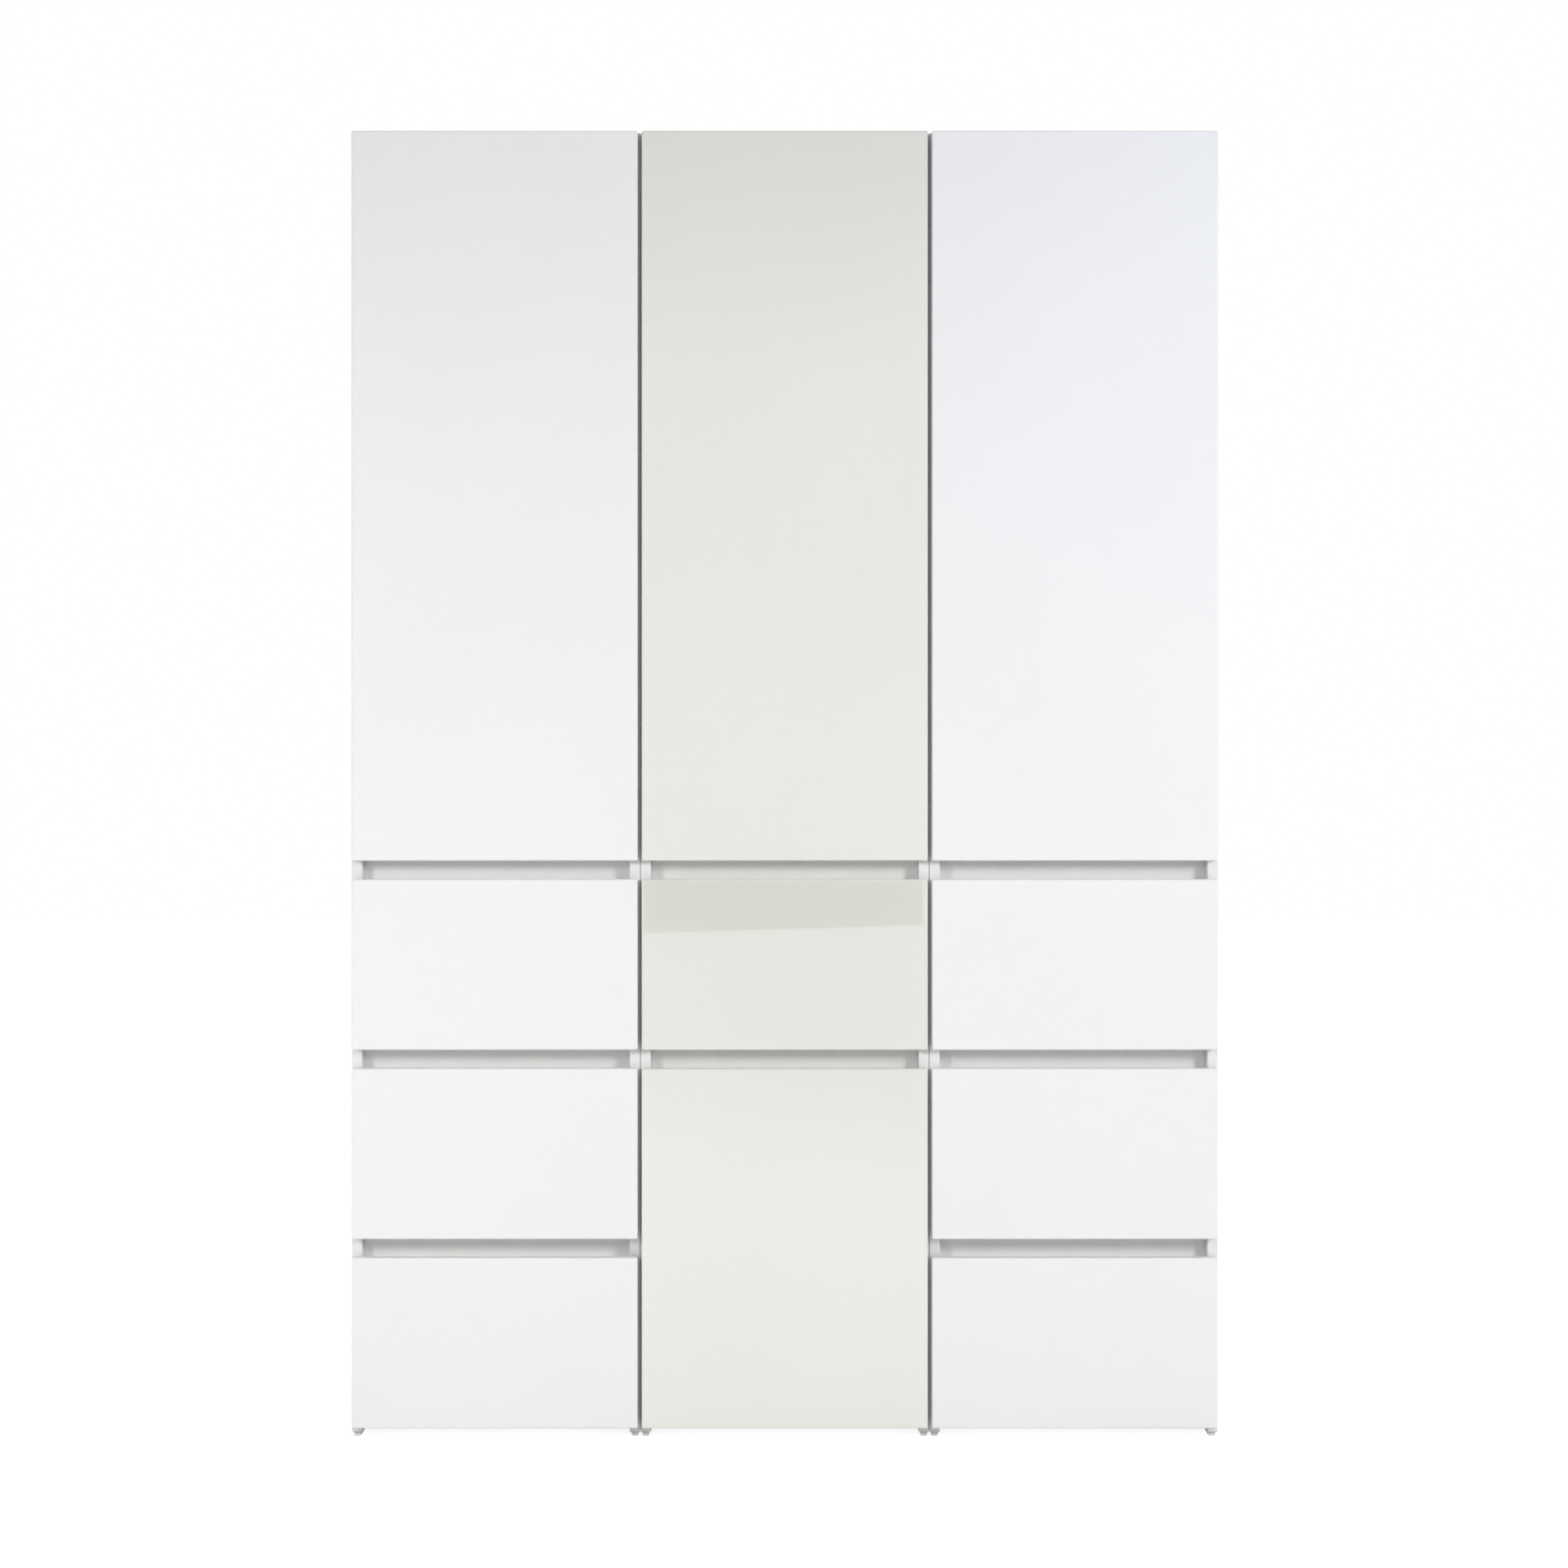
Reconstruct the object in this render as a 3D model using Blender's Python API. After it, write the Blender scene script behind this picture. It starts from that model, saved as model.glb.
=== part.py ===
"""Closet system of three modules, with hinged doors above and drawers below.

Units are metres. X runs to the right seen from the front, Y to the back and Z up.
The origin is on the floor, in the middle of the closet's width and depth.
Each module is a carcass of boards. Recessed grip channels between the fronts replace handles.
"""

import math
from collections import namedtuple

import bmesh
import bpy
from mathutils import Matrix, Vector

# Overall sizes
HEIGHT = 2.257
MODULE_PITCH = 0.500
MODULE_JOINT = 0.0009
CARCASS_DEPTH = 0.560

# Boards
BOARD = 0.018
BOARD_EDGE = 0.001
BACK_THICKNESS = 0.006
BACK_INSET = 0.012
BACK_GROOVE_DEPTH = 0.008
SEAT = 0.0003

# Fronts
FRONT_THICKNESS = 0.018
FRONT_STANDOFF = 0.0025
FRONT_GAP = 0.007
FRONT_EDGE = 0.003
FRONT_EDGE_STEPS = 3
FLOOR_GAP = 0.020
TOP_REVEAL = 0.0015
DRAWER_FRONT_HEIGHT = 0.294
SLOT_HEIGHT = 0.032

# Glides under the side boards
GLIDE_HEIGHT = 0.0085
GLIDE_WIDTH = 0.014
GLIDE_FOOT_WIDTH = 0.010
GLIDE_LENGTH = 0.040
GLIDE_INSET = 0.006
GLIDE_ROOT = 0.002

# Grip channels
GRIP_DEPTH = 0.025
GRIP_WALL = 0.0016
GRIP_OVERLAP = 0.014
GRIP_LIP = 0.004
GRIP_ROUND = 0.010

# Drawer boxes
BOX_WALL = 0.015
BOX_BOTTOM = 0.006
BOX_BOTTOM_LIFT = 0.010
BOX_LIFT = 0.024
BOX_HEADROOM = 0.030
BOX_REAR_CLEARANCE = 0.042

# Roller runners: heights count from the underside of the fixed channel
RUNNER_SPACE = 0.0125
RUNNER_LIFT = 0.002
CHANNEL_HEIGHT = 0.030
CHANNEL_WIDTH = 0.0105
CHANNEL_STEEL = 0.0014
CHANNEL_SETBACK = 0.002
TRACK_HEIGHT = 0.014
TRACK_STEEL = 0.0012
TRACK_REACH = 0.009
TRACK_WEB_LOW = 0.004
TRACK_WEB_HIGH = 0.024
ROLLER_RADIUS = 0.0057
ROLLER_WIDTH = 0.0080
ROLLER_INSET = 0.016
RUNNER_ROOT = 0.0007

# Cup hinges: the door turns about an upright axis inside its own front corner
HINGE_AXIS_INSET = 0.007
HINGE_END_DISTANCE = 0.110
HINGE_NAMES = ("bottom", "middle", "top")
CUP_FROM_EDGE = 0.0225
CUP_RADIUS = 0.0155
CUP_DEPTH = 0.011
CUP_RIM = 0.0035
CUP_PLATE_THICKNESS = 0.001
CUP_PLATE_LENGTH = 0.062
CUP_PLATE_WIDTH = 0.016
NOSE_FROM_AXIS = 0.014
NOSE_THICKNESS = 0.007
NOSE_WIDTH = 0.013
NOSE_ROUND = 0.0025
ARM_WIDTH = 0.020
ARM_STEEL = 0.0012
ARM_STANDOFF = 0.0035
ARM_THICKNESS = 0.012
ARM_SETBACK = 0.004
ARM_LENGTH = 0.070
ARM_TAPER = 0.024
ARM_TAIL = 0.006
ARM_ROUND = 0.003
HINGE_PIN_RADIUS = 0.002
HINGE_HEAD = 0.0005
PLATE_THICKNESS = 0.0065
PLATE_SETBACK = 0.018
PLATE_LENGTH = 0.040
PLATE_WIDTH = 0.014
PLATE_SCREW_RADIUS = 0.003
PLATE_SCREW_SPACING = 0.020
WING_SPAN = 0.050
WING_WIDTH = 0.014
WING_THICKNESS = 0.0025

# Interior
HAT_SPACE = 0.264
SHELF_SETBACK = 0.020
CENTRE_SHELVES = ("lower", "upper")
PIN_RADIUS = 0.0025
PIN_REACH = 0.009
PIN_ROOT = 0.003
PIN_INSET = 0.045
RAIL_DROP = 0.050
RAIL_HEIGHT = 0.030
RAIL_WIDTH = 0.015
SOCKET_LENGTH = 0.010
SOCKET_RIM = 0.005

# Facets of round pieces
ROLLER_SIDES = 12
PIN_SIDES = 8
CUP_SIDES = 18
OVAL_STEPS = 8
WING_STEPS = 4
ARC_STEPS = 4
HINGE_ARC_STEPS = 2

# Places along Y and Z
TOTAL_DEPTH = FRONT_THICKNESS + FRONT_STANDOFF + CARCASS_DEPTH
Y_FRONT = -TOTAL_DEPTH / 2
Y_FRONT_BACK = Y_FRONT + FRONT_THICKNESS
Y_CARCASS = Y_FRONT_BACK + FRONT_STANDOFF
Y_REAR = TOTAL_DEPTH / 2
Y_BACK_FACE = Y_REAR - BACK_INSET - BACK_THICKNESS
LEVELS = 3
DRAWER_PITCH = DRAWER_FRONT_HEIGHT + SLOT_HEIGHT
DOOR_BOTTOM = FLOOR_GAP + LEVELS * DRAWER_PITCH
DOOR_TOP = HEIGHT - TOP_REVEAL
DIVIDER_BOTTOM = DOOR_BOTTOM + GRIP_OVERLAP + SEAT
DIVIDER_TOP = DIVIDER_BOTTOM + BOARD
TOP_UNDERSIDE = HEIGHT - BOARD

# Places across one module, counted from its middle
OUTER_HALF = (MODULE_PITCH - MODULE_JOINT) / 2
INNER_HALF = OUTER_HALF - BOARD
FRONT_HALF = (MODULE_PITCH - FRONT_GAP) / 2
BOX_HALF = INNER_HALF - RUNNER_SPACE
BOX_LENGTH = Y_BACK_FACE - Y_CARCASS - BOX_REAR_CLEARANCE

# A drawer spans one or more levels, counted from the floor. The hinge side is -1 for left, 1 for right.
Drawer = namedtuple("Drawer", "name first last")
Module = namedtuple("Module", "name x hinge_side front_finish drawers hanging")
X, Y, Z = range(3)
JOIN, CUT = "UNION", "DIFFERENCE"
LEFT, RIGHT = -1, 1
SIDES = {LEFT: "left", RIGHT: "right"}
THREE_DRAWERS = (Drawer("lower", 0, 0), Drawer("middle", 1, 1), Drawer("upper", 2, 2))
TALL_AND_UPPER = (Drawer("tall", 0, 1), Drawer("upper", 2, 2))
MODULES = (
    Module("left", -MODULE_PITCH, LEFT, "white_gloss", THREE_DRAWERS, True),
    Module("centre", 0.0, LEFT, "cream_gloss", TALL_AND_UPPER, False),
    Module("right", MODULE_PITCH, RIGHT, "white_gloss", THREE_DRAWERS, True),
)


def finish(name, colour, roughness, metallic=0.0):
    """A plain material with a colour, a roughness and a metallic value."""
    material = bpy.data.materials.new(name)
    material.use_nodes = True
    shader = material.node_tree.nodes["Principled BSDF"]
    shader.inputs["Base Color"].default_value = (*colour, 1.0)
    shader.inputs["Roughness"].default_value = roughness
    shader.inputs["Metallic"].default_value = metallic
    material.diffuse_color = (*colour, 1.0)
    return material


def make_finishes():
    """The closet's materials by name."""
    return {
        "white_gloss": finish("white_gloss", (0.88, 0.88, 0.88), 0.18),
        "cream_gloss": finish("cream_gloss", (0.80, 0.80, 0.74), 0.06),
        "white_board": finish("white_board", (0.84, 0.84, 0.83), 0.45),
        "back_board": finish("back_board", (0.80, 0.80, 0.79), 0.60),
        "white_channel": finish("white_channel", (0.78, 0.78, 0.77), 0.35),
        "box_foil": finish("box_foil", (0.80, 0.80, 0.79), 0.50),
        "nickel": finish("nickel", (0.66, 0.65, 0.62), 0.28, 1.0),
        "chrome": finish("chrome", (0.78, 0.78, 0.79), 0.12, 1.0),
    }


def add_box(shape, low, high):
    """Adds a closed box between two corners, given in any order."""
    low, high = Vector(low), Vector(high)
    size = Vector(abs(b - a) for a, b in zip(low, high))
    place = Matrix.Translation((low + high) / 2) @ Matrix.Diagonal((*size, 1.0))
    bmesh.ops.create_cube(shape, size=1.0, matrix=place)


def add_cylinder(shape, axis, low, high, radius, sides):
    """Adds a closed cylinder between the centres of its two ends, along one axis."""
    low, high = Vector(low), Vector(high)
    turn = Vector((0, 0, 1)).rotation_difference(Vector(index == axis for index in (X, Y, Z)))
    place = Matrix.Translation((low + high) / 2) @ turn.to_matrix().to_4x4()
    bmesh.ops.create_cone(shape, cap_ends=True, segments=sides, radius1=radius, radius2=radius,
                          depth=(high - low).length, matrix=place)


def add_prism(shape, axis, outline, low, high):
    """Extrudes a closed outline along one axis. Its points lie on the two other axes, in X, Y, Z order."""
    first, second = (index for index in (X, Y, Z) if index != axis)
    corners = []
    for a, b in outline:
        corner = Vector((0, 0, 0))
        corner[first], corner[second], corner[axis] = a, b, low
        corners.append(shape.verts.new(corner))
    start = shape.faces.new(corners)
    grown = bmesh.ops.extrude_face_region(shape, geom=[start])["geom"]
    far_corners = [part for part in grown if isinstance(part, bmesh.types.BMVert)]
    length = Vector((0, 0, 0))
    length[axis] = high - low
    bmesh.ops.translate(shape, vec=length, verts=far_corners)
    bmesh.ops.recalc_face_normals(shape, faces=shape.faces)


def rounded(corners, steps):
    """A closed outline through (a, b, radius) corners, each with a radius an arc of some steps."""
    points = []
    for index, (a, b, radius) in enumerate(corners):
        here = Vector((a, b))
        if radius == 0:
            points.append(here)
            continue
        to_last = (Vector(corners[index - 1][:2]) - here).normalized()
        to_next = (Vector(corners[(index + 1) % len(corners)][:2]) - here).normalized()
        half = to_last.angle(to_next) / 2
        centre = here + (to_last + to_next).normalized() * radius / math.sin(half)
        spoke = here + to_last * radius / math.tan(half) - centre
        sweep = math.copysign(math.pi - 2 * half, -to_last.cross(to_next))
        for step in range(steps + 1):
            points.append(centre + Matrix.Rotation(sweep * step / steps, 2) @ spoke)
    return points


def stadium(half_width, half_height, steps):
    """An upright oval outline about the origin, with straight sides and round ends of some steps."""
    straight = half_height - half_width
    turns = [math.pi * step / steps for step in range(steps + 1)]
    top = [(half_width * math.cos(turn), straight + half_width * math.sin(turn)) for turn in turns]
    return top + [(-a, -b) for a, b in top]


def shifted(outline, a, b):
    """The outline moved by a and b."""
    return [(p + a, q + b) for p, q in outline]


def mesh_object(name, shape, origin, parent):
    """Turns a shape, drawn in its parent's frame, into an object with its origin at a point there."""
    bmesh.ops.translate(shape, vec=-Vector(origin), verts=shape.verts)
    mesh = bpy.data.meshes.new(name)
    shape.to_mesh(mesh)
    shape.free()
    piece = bpy.data.objects.new(name, mesh)
    bpy.context.scene.collection.objects.link(piece)
    piece.parent = parent
    piece.location = origin
    return piece


def add_boolean(piece, operation, shape, origin, parent):
    """Joins a hidden helper shape to a piece, or cuts it from the piece."""
    helper = mesh_object(f"{piece.name}_{operation.lower()}", shape, origin, parent)
    helper.hide_render = True
    helper.display_type = "WIRE"
    modifier = piece.modifiers.new(operation.title(), "BOOLEAN")
    modifier.operation = operation
    modifier.use_self = True
    modifier.object = helper


def make_piece(name, shape, material, parent, origin=(0, 0, 0), steps=(), edge=0.0, edge_steps=1):
    """One named piece, with its edges eased and its (JOIN or CUT, shape) steps done in order."""
    piece = mesh_object(name, shape, origin, parent)
    piece.data.materials.append(material)
    if edge:
        bevel = piece.modifiers.new("Edges", "BEVEL")
        bevel.width = edge
        bevel.segments = edge_steps
    for operation, other in steps:
        add_boolean(piece, operation, other, origin, parent)
    piece.data.shade_smooth()
    piece.data.set_sharp_from_angle(angle=math.radians(35))
    return piece


def make_board(name, low, high, material, parent, steps=()):
    """A flat board between two corners, with its origin at the middle of its underside."""
    shape = bmesh.new()
    add_box(shape, low, high)
    origin = ((low[X] + high[X]) / 2, (low[Y] + high[Y]) / 2, min(low[Z], high[Z]))
    return make_piece(name, shape, material, parent, origin, steps, BOARD_EDGE)


def make_empty(name, location, parent):
    """An empty that carries a module or a drawer."""
    holder = bpy.data.objects.new(name, None)
    bpy.context.scene.collection.objects.link(holder)
    holder.parent = parent
    holder.location = location
    return holder


def drawer_heights(drawer):
    """The lowest and highest point of a drawer's front."""
    bottom = FLOOR_GAP + drawer.first * DRAWER_PITCH
    top = FLOOR_GAP + drawer.last * DRAWER_PITCH + DRAWER_FRONT_HEIGHT
    return bottom, top


def channel_bottom(drawer):
    """The underside of the fixed runner channels that carry a drawer."""
    return drawer_heights(drawer)[0] + BOX_LIFT + RUNNER_LIFT


def shelf_bottoms(module):
    """The undersides of a module's loose shelves, by name."""
    if module.hanging:
        return {"hat": TOP_UNDERSIDE - HAT_SPACE - BOARD}
    count = len(CENTRE_SHELVES)
    space = (TOP_UNDERSIDE - DIVIDER_TOP - count * BOARD) / (count + 1)
    return {name: DIVIDER_TOP + space + index * (space + BOARD) for index, name in enumerate(CENTRE_SHELVES)}


def hinge_heights():
    """The heights of a door's hinges, by name."""
    low = DOOR_BOTTOM + HINGE_END_DISTANCE
    high = DOOR_TOP - HINGE_END_DISTANCE
    step = (high - low) / (len(HINGE_NAMES) - 1)
    return {name: low + index * step for index, name in enumerate(HINGE_NAMES)}


def add_fixed_channel(shape, side, bottom):
    """Adds a runner's fixed channel, open towards the drawer, and its front roller to a side board."""
    wall = side * INNER_HALF
    inner = wall - side * CHANNEL_STEEL
    edge = wall - side * CHANNEL_WIDTH
    root = wall + side * RUNNER_ROOT
    top = bottom + CHANNEL_HEIGHT
    outline = [
        (root, bottom),
        (edge, bottom),
        (edge, bottom + CHANNEL_STEEL),
        (inner, bottom + CHANNEL_STEEL),
        (inner, top - CHANNEL_STEEL),
        (edge, top - CHANNEL_STEEL),
        (edge, top),
        (root, top),
    ]
    front = Y_CARCASS + CHANNEL_SETBACK
    add_prism(shape, Y, outline, front, front + BOX_LENGTH)
    axle_y = Y_CARCASS + ROLLER_INSET
    axle_z = bottom + TRACK_HEIGHT - SEAT - ROLLER_RADIUS
    add_cylinder(shape, X, ((wall + inner) / 2, axle_y, axle_z), (wall - side * ROLLER_WIDTH, axle_y, axle_z),
                 ROLLER_RADIUS, ROLLER_SIDES)


def add_moving_track(shape, side, bottom, rear):
    """Adds a runner's moving track, which rides in the channel, and its rear roller to a drawer box."""
    wall = side * BOX_HALF
    root = wall - side * RUNNER_ROOT
    face = wall + side * TRACK_STEEL
    reach = wall + side * TRACK_REACH
    low = bottom + TRACK_HEIGHT
    outline = [
        (root, bottom + TRACK_WEB_LOW),
        (face, bottom + TRACK_WEB_LOW),
        (face, low),
        (reach, low),
        (reach, low + TRACK_STEEL),
        (face, low + TRACK_STEEL),
        (face, bottom + TRACK_WEB_HIGH),
        (root, bottom + TRACK_WEB_HIGH),
    ]
    add_prism(shape, Y, outline, Y_CARCASS + CHANNEL_SETBACK, rear)
    axle_y = rear - ROLLER_INSET
    axle_z = bottom + CHANNEL_STEEL + SEAT + ROLLER_RADIUS
    add_cylinder(shape, X, ((wall + face) / 2, axle_y, axle_z), (wall + side * ROLLER_WIDTH, axle_y, axle_z),
                 ROLLER_RADIUS, ROLLER_SIDES)


def add_glides(shape, side):
    """Adds the two tapered glides that a side board stands on."""
    middle = side * (INNER_HALF + OUTER_HALF) / 2
    top = GLIDE_HEIGHT + GLIDE_ROOT
    outline = [
        (middle - GLIDE_FOOT_WIDTH / 2, 0.0),
        (middle + GLIDE_FOOT_WIDTH / 2, 0.0),
        (middle + GLIDE_WIDTH / 2, top),
        (middle - GLIDE_WIDTH / 2, top),
    ]
    for start in (Y_CARCASS + GLIDE_INSET, Y_REAR - GLIDE_INSET - GLIDE_LENGTH):
        add_prism(shape, Y, outline, start, start + GLIDE_LENGTH)


def add_shelf_pins(shape, side, shelf_bottom):
    """Adds the two pins that carry one end of a loose shelf."""
    height = shelf_bottom - SEAT - PIN_RADIUS
    for y in (Y_CARCASS + SHELF_SETBACK + PIN_INSET, Y_BACK_FACE - PIN_INSET):
        add_cylinder(shape, X, (side * (INNER_HALF + PIN_ROOT), y, height),
                     (side * (INNER_HALF - PIN_REACH), y, height), PIN_RADIUS, PIN_SIDES)


def make_side(module, side, finishes, holder):
    """One upright side board, with its back groove, glides, runner channels and shelf pins."""
    fittings = bmesh.new()
    add_glides(fittings, side)
    for drawer in module.drawers:
        add_fixed_channel(fittings, side, channel_bottom(drawer))
    for bottom in shelf_bottoms(module).values():
        add_shelf_pins(fittings, side, bottom)
    groove = bmesh.new()
    past_ends = BOARD
    add_box(groove, (side * (INNER_HALF - past_ends), Y_BACK_FACE - SEAT, GLIDE_HEIGHT - past_ends),
            (side * (INNER_HALF + BACK_GROOVE_DEPTH), Y_REAR - BACK_INSET + SEAT, HEIGHT + past_ends))
    make_board(f"{module.name}_{SIDES[side]}_side", (side * INNER_HALF, Y_CARCASS, GLIDE_HEIGHT),
               (side * OUTER_HALF, Y_REAR, HEIGHT), finishes["white_board"], holder,
               [(JOIN, fittings), (CUT, groove)])


def make_level_boards(module, finishes, holder):
    """The floor board, the divider above the drawers and the top board, between the two sides."""
    undersides = {"floor": FLOOR_GAP, "divider": DIVIDER_BOTTOM, "top": TOP_UNDERSIDE}
    for name, bottom in undersides.items():
        make_board(f"{module.name}_{name}", (SEAT - INNER_HALF, Y_CARCASS, bottom),
                   (INNER_HALF - SEAT, Y_BACK_FACE - SEAT, bottom + BOARD), finishes["white_board"], holder)


def make_back(module, finishes, holder):
    """The thin back board, held in the grooves of the two sides."""
    half = INNER_HALF + BACK_GROOVE_DEPTH - SEAT
    make_board(f"{module.name}_back", (-half, Y_BACK_FACE, FLOOR_GAP),
               (half, Y_BACK_FACE + BACK_THICKNESS, HEIGHT), finishes["back_board"], holder)


def grip_outline(slot_bottom):
    """The grip channel's section in Y and Z: a C with a round back and lips behind the fronts."""
    low = slot_bottom - GRIP_OVERLAP
    high = slot_bottom + SLOT_HEIGHT + GRIP_OVERLAP
    front, back = Y_CARCASS, Y_CARCASS + GRIP_DEPTH
    wall = GRIP_WALL
    return rounded([
        (front, low, 0),
        (back, low, GRIP_ROUND + wall),
        (back, high, GRIP_ROUND + wall),
        (front, high, 0),
        (front, high - wall - GRIP_LIP, 0),
        (front + wall, high - wall - GRIP_LIP, 0),
        (front + wall, high - wall, 0),
        (back - wall, high - wall, GRIP_ROUND),
        (back - wall, low + wall, GRIP_ROUND),
        (front + wall, low + wall, 0),
        (front + wall, low + wall + GRIP_LIP, 0),
        (front, low + wall + GRIP_LIP, 0),
    ], ARC_STEPS)


def make_grips(module, finishes, holder):
    """The grip channels above the drawer fronts, cut to the width between the sides."""
    for drawer in module.drawers:
        slot_bottom = drawer_heights(drawer)[1]
        shape = bmesh.new()
        add_prism(shape, X, grip_outline(slot_bottom), SEAT - INNER_HALF, INNER_HALF - SEAT)
        make_piece(f"{module.name}_{drawer.name}_grip", shape, finishes["white_channel"], holder,
                   (0, Y_CARCASS, slot_bottom))


def make_drawer(module, drawer, finishes, holder):
    """A drawer's front and its box, both carried by one empty at the foot of the front."""
    bottom, top = drawer_heights(drawer)
    origin = (0, Y_FRONT, bottom)
    carrier = make_empty(f"{module.name}_{drawer.name}_drawer", origin, holder)
    front = bmesh.new()
    add_box(front, (-FRONT_HALF, 0, 0), (FRONT_HALF, FRONT_THICKNESS, top - bottom))
    make_piece(f"{module.name}_{drawer.name}_drawer_front", front, finishes[module.front_finish], carrier,
               edge=FRONT_EDGE, edge_steps=FRONT_EDGE_STEPS)
    make_drawer_box(module, drawer, finishes, holder, carrier)


def make_drawer_box(module, drawer, finishes, holder, carrier):
    """A drawer's folded box with its bottom let into the walls and its runner tracks."""
    bottom, top = drawer_heights(drawer)
    low, high = bottom + BOX_LIFT, top - BOX_HEADROOM
    start = Y_FRONT_BACK + SEAT
    rear = start + BOX_LENGTH
    inner = BOX_HALF - BOX_WALL
    floor = low + BOX_BOTTOM_LIFT
    box = bmesh.new()
    add_box(box, (-BOX_HALF, start, low), (BOX_HALF, rear, high))
    hollows = bmesh.new()
    for z_low, z_high in ((floor + BOX_BOTTOM, high + BOX_WALL), (low - BOX_WALL, floor)):
        add_box(hollows, (-inner, start + BOX_WALL, z_low), (inner, rear - BOX_WALL, z_high))
    tracks = bmesh.new()
    for side in (LEFT, RIGHT):
        add_moving_track(tracks, side, channel_bottom(drawer), rear)
    piece = make_piece(f"{module.name}_{drawer.name}_drawer_box", box, finishes["box_foil"], holder,
                       (0, Y_FRONT, bottom), [(JOIN, tracks), (CUT, hollows)], BOARD_EDGE)
    piece.parent = carrier
    piece.location = (0, 0, 0)


def add_cup(plates, hollows, side, height):
    """Adds one hinge cup: its fixing plate on the door's back and its round hollow."""
    x = side * (FRONT_HALF - CUP_FROM_EDGE)
    root = Y_FRONT_BACK - CUP_PLATE_THICKNESS
    face = Y_FRONT_BACK + CUP_PLATE_THICKNESS
    wings = shifted(stadium(CUP_PLATE_WIDTH / 2, CUP_PLATE_LENGTH / 2, WING_STEPS), x, height)
    add_prism(plates, Y, wings, root, face)
    add_cylinder(plates, Y, (x, root, height), (x, face, height), CUP_RADIUS + CUP_RIM, CUP_SIDES)
    add_cylinder(hollows, Y, (x, Y_FRONT_BACK - CUP_DEPTH, height), (x, face + CUP_DEPTH, height),
                 CUP_RADIUS, CUP_SIDES)


def make_door(module, finishes, holder):
    """A door with its hinge cups. Its origin lies on the axis that it turns about."""
    side = module.hinge_side
    door = bmesh.new()
    add_box(door, (-FRONT_HALF, Y_FRONT, DOOR_BOTTOM), (FRONT_HALF, Y_FRONT_BACK, DOOR_TOP))
    plates, hollows = bmesh.new(), bmesh.new()
    for height in hinge_heights().values():
        add_cup(plates, hollows, side, height)
    origin = (side * (FRONT_HALF - HINGE_AXIS_INSET), Y_FRONT + HINGE_AXIS_INSET, DOOR_BOTTOM)
    make_piece(f"{module.name}_door", door, finishes[module.front_finish], holder, origin,
               [(JOIN, plates), (CUT, hollows)], FRONT_EDGE, FRONT_EDGE_STEPS)


def hinge_x(side, distance):
    """The place across the module at a distance from a side board's inner face."""
    return side * (INNER_HALF - distance)


def hinge_outline(side, corners):
    """An outline from (distance from the side's inner face, distance from the carcass's front, radius)."""
    places = [(hinge_x(side, u), Y_CARCASS + v, radius) for u, v, radius in corners]
    return rounded(places, HINGE_ARC_STEPS)


def add_arm(shape, side, height, inset):
    """Adds the tapered arm of a hinge. The hollow under it is the same form, smaller by an inset."""
    low = ARM_STANDOFF - inset
    top = ARM_STANDOFF + ARM_THICKNESS - inset
    front = ARM_SETBACK + inset
    end = ARM_SETBACK + ARM_LENGTH - inset
    half_width = ARM_WIDTH / 2 - inset
    outline = hinge_outline(side, [
        (low, front, 0),
        (top, front, ARM_ROUND - inset),
        (top, end - ARM_TAPER, ARM_ROUND - inset),
        (ARM_STANDOFF + ARM_TAIL - inset, end, ARM_ROUND - inset),
        (low, end, 0),
    ])
    add_prism(shape, Z, outline, height - half_width, height + half_width)


def add_nose(shape, side, height):
    """Adds the link that reaches from a hinge arm into the door's cup, and the pin that it hangs on."""
    inner = HINGE_AXIS_INSET + NOSE_FROM_AXIS - (FRONT_HALF - INNER_HALF)
    outer = inner + NOSE_THICKNESS
    tip = SEAT - CUP_DEPTH - FRONT_STANDOFF
    root = ARM_SETBACK + ARM_THICKNESS
    outline = hinge_outline(side, [
        (inner, root, NOSE_ROUND),
        (inner, tip, NOSE_ROUND),
        (outer, tip, NOSE_ROUND),
        (outer, root, NOSE_ROUND),
    ])
    add_prism(shape, Z, outline, height - NOSE_WIDTH / 2, height + NOSE_WIDTH / 2)
    x = hinge_x(side, (inner + outer) / 2)
    y = Y_CARCASS + root - NOSE_THICKNESS / 2
    reach = ARM_WIDTH / 2 + HINGE_HEAD
    add_cylinder(shape, Z, (x, y, height - reach), (x, y, height + reach), HINGE_PIN_RADIUS, PIN_SIDES)


def add_mounting_plate(shape, side, height):
    """Adds a hinge's plate on the side board: two wings, a block under the arm and two screws through it."""
    middle = Y_CARCASS + PLATE_SETBACK + PLATE_LENGTH / 2
    wings = shifted(stadium(WING_WIDTH / 2, WING_SPAN / 2, WING_STEPS), middle, height)
    add_prism(shape, X, wings, hinge_x(side, SEAT), hinge_x(side, WING_THICKNESS))
    add_box(shape, (hinge_x(side, SEAT), middle - PLATE_LENGTH / 2, height - PLATE_WIDTH / 2),
            (hinge_x(side, PLATE_THICKNESS), middle + PLATE_LENGTH / 2, height + PLATE_WIDTH / 2))
    arm_top = ARM_STANDOFF + ARM_THICKNESS
    for y in (middle - PLATE_SCREW_SPACING / 2, middle + PLATE_SCREW_SPACING / 2):
        add_cylinder(shape, X, (hinge_x(side, WING_THICKNESS), y, height),
                     (hinge_x(side, arm_top + HINGE_HEAD), y, height), PLATE_SCREW_RADIUS, PIN_SIDES)


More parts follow.
